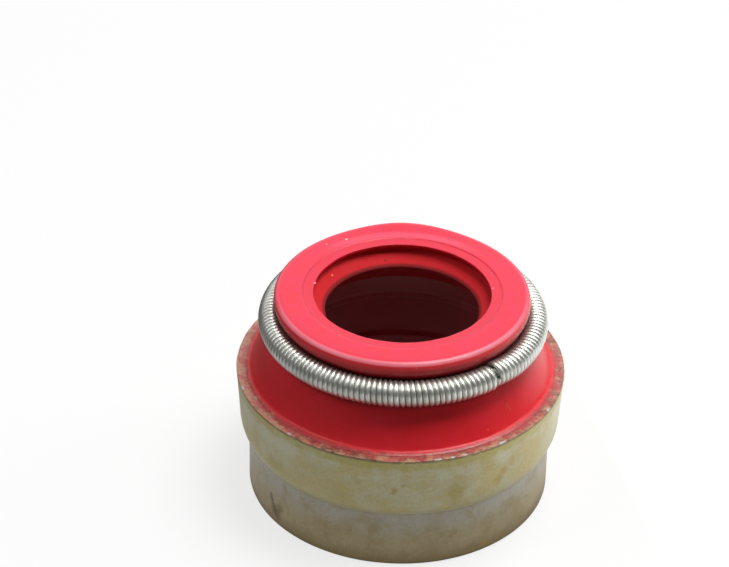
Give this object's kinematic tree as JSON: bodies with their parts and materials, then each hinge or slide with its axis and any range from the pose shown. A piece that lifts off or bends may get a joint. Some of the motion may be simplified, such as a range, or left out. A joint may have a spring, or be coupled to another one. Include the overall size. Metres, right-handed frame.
{
  "type": "valve stem seal",
  "caption": "Valve stem seal: red rubber body with a sealing lip, bonded in a stepped steel jacket, with a garter spring round its head.",
  "frame": {"origin": "centre of the bottom face, on the stem's axis", "axes": "+Z along the valve stem's axis, from the valve guide towards the sealing lip and the head"},
  "size_m": [0.0164, 0.0164, 0.0111],
  "materials": {
    "rubber": "moulded fluorocarbon rubber, satin",
    "jacket": "drawn steel with a stained olive conversion coating, dull",
    "spring": "drawn spring wire, bright"
  },
  "bodies": {
    "root": {"steel_jacket": "jacket", "rubber_body": "rubber", "garter_spring": "spring"}
  },
  "joints": []
}
